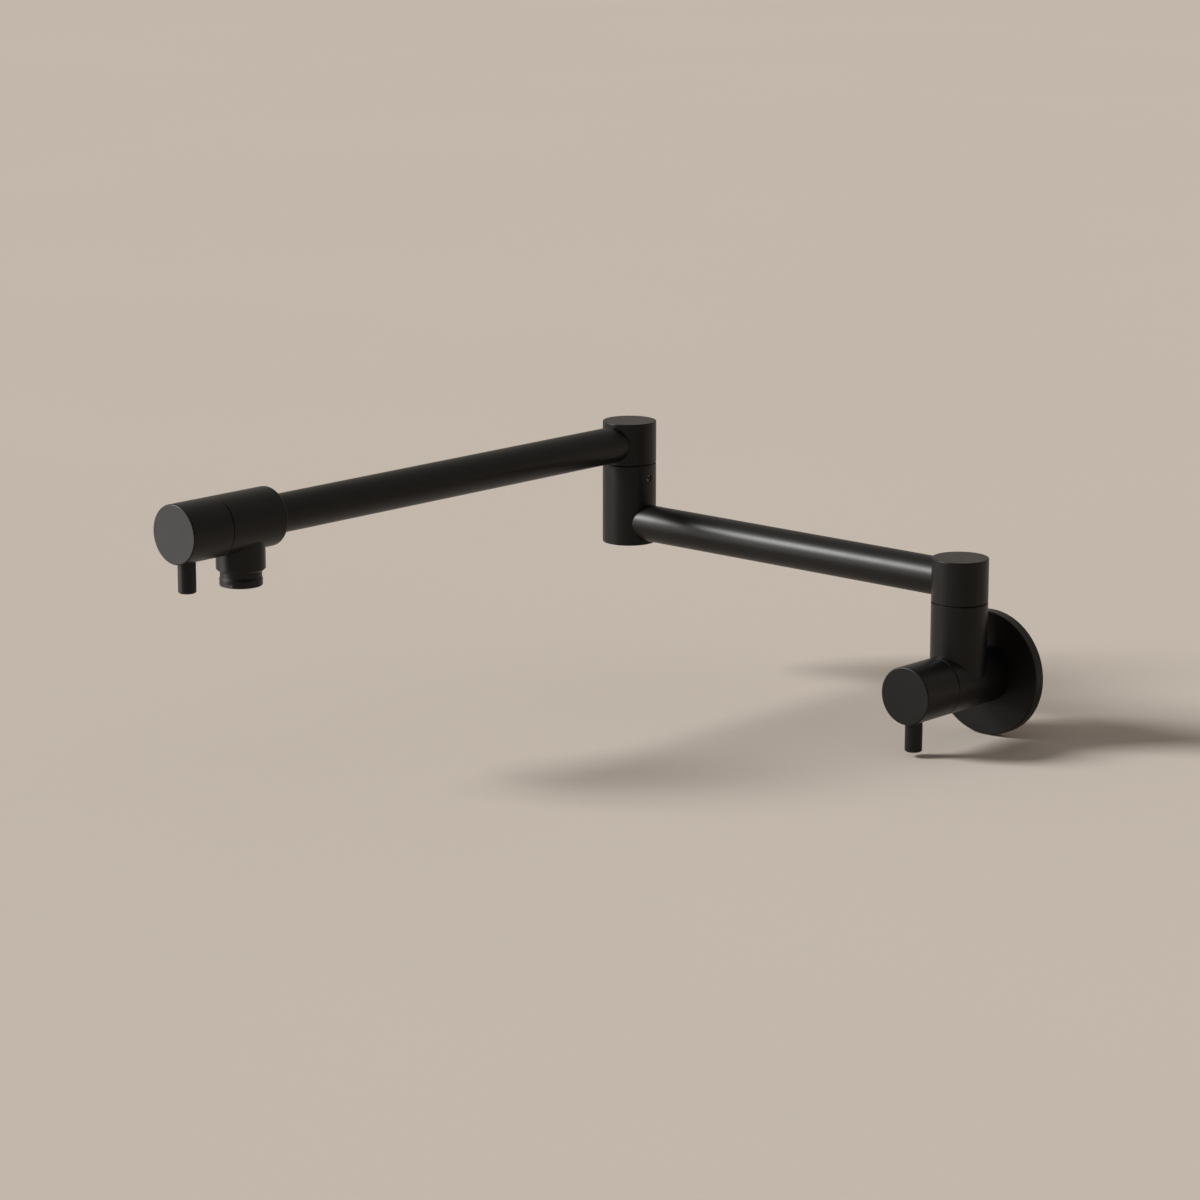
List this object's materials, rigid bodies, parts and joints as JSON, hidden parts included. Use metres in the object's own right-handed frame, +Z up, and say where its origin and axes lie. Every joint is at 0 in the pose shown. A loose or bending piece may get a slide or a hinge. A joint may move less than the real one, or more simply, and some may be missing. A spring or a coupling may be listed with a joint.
{
  "type": "pot filler",
  "caption": "Wall-mounted black pot filler: round flange, quarter-turn valve, two swinging tube arms joined by an elbow, and a second valve with an aerated spout.",
  "frame": {"origin": "on the wall, at the centre of the flange's back face, on the inlet's axis", "axes": "+X right along the wall as seen from the room, +Y into the wall, +Z up"},
  "size_m": [0.3047, 0.4209, 0.1604],
  "materials": {
    "black_finish": "satin black coating on brass",
    "plain_brass": "machined",
    "disc_ceramic": "lapped",
    "seal_rubber": "matte",
    "foam": "closed-cell foam",
    "fibre": "pressed fibre",
    "slip_plastic": "low-friction plastic",
    "insert_plastic": "moulded",
    "steel": "plain",
    "grub_steel": "blackened"
  },
  "bodies": {
    "wall_valve": {"wall_flange": "black_finish", "flange_gasket": "foam", "flange_grip_ring": "seal_rubber", "inlet_nipple": "plain_brass", "inlet_washer": "fibre", "valve_body": "black_finish", "riser_grub_screw": "grub_steel", "riser_slip_washer": "slip_plastic", "wall_cartridge_shell": "plain_brass", "wall_shell_ring": "seal_rubber", "wall_fixed_disc": "disc_ceramic", "wall_seat_seal": "seal_rubber"},
    "wall_knob": {"wall_knob": "black_finish", "wall_lever": "black_finish", "wall_stem": "plain_brass", "wall_stem_rings": "seal_rubber", "wall_stem_clip": "steel", "wall_turning_disc": "disc_ceramic"},
    "inner_arm": {"riser_hub": "black_finish", "riser_spigot": "plain_brass", "riser_o_rings": "seal_rubber", "inner_tube": "black_finish", "elbow_lower_hub": "black_finish", "elbow_grub_screw": "grub_steel", "elbow_slip_washer": "slip_plastic"},
    "outer_arm": {"elbow_upper_hub": "black_finish", "elbow_spigot": "plain_brass", "elbow_o_rings": "seal_rubber", "outer_tube": "black_finish", "spout_body": "black_finish", "aerator_housing": "black_finish", "aerator_insert": "insert_plastic", "aerator_screen": "steel", "aerator_washer": "seal_rubber", "spout_cartridge_shell": "plain_brass", "spout_shell_ring": "seal_rubber", "spout_fixed_disc": "disc_ceramic", "spout_seat_seal": "seal_rubber"},
    "spout_knob": {"spout_knob": "black_finish", "spout_lever": "black_finish", "spout_stem": "plain_brass", "spout_stem_rings": "seal_rubber", "spout_stem_clip": "steel", "spout_turning_disc": "disc_ceramic"}
  },
  "joints": [
    {"name": "riser_swivel", "type": "hinge", "parent": "wall_valve", "child": "inner_arm", "pos_m": [0, -0.032, 0.0462], "axis": [0, 0, 1], "range_deg": [0, 180]},
    {"name": "elbow_swivel", "type": "hinge", "parent": "inner_arm", "child": "outer_arm", "pos_m": [-0.2515, -0.032, 0.0945], "axis": [0, 0, 1], "continuous": true},
    {"name": "wall_valve_turn", "type": "hinge", "parent": "wall_valve", "child": "wall_knob", "pos_m": [0, -0.052, 0], "axis": [0, -1, 0], "range_deg": [0, 90]},
    {"name": "spout_valve_turn", "type": "hinge", "parent": "outer_arm", "child": "spout_knob", "pos_m": [-0.2515, -0.3715, 0.1072], "axis": [0, -1, 0], "range_deg": [0, 90]}
  ]
}
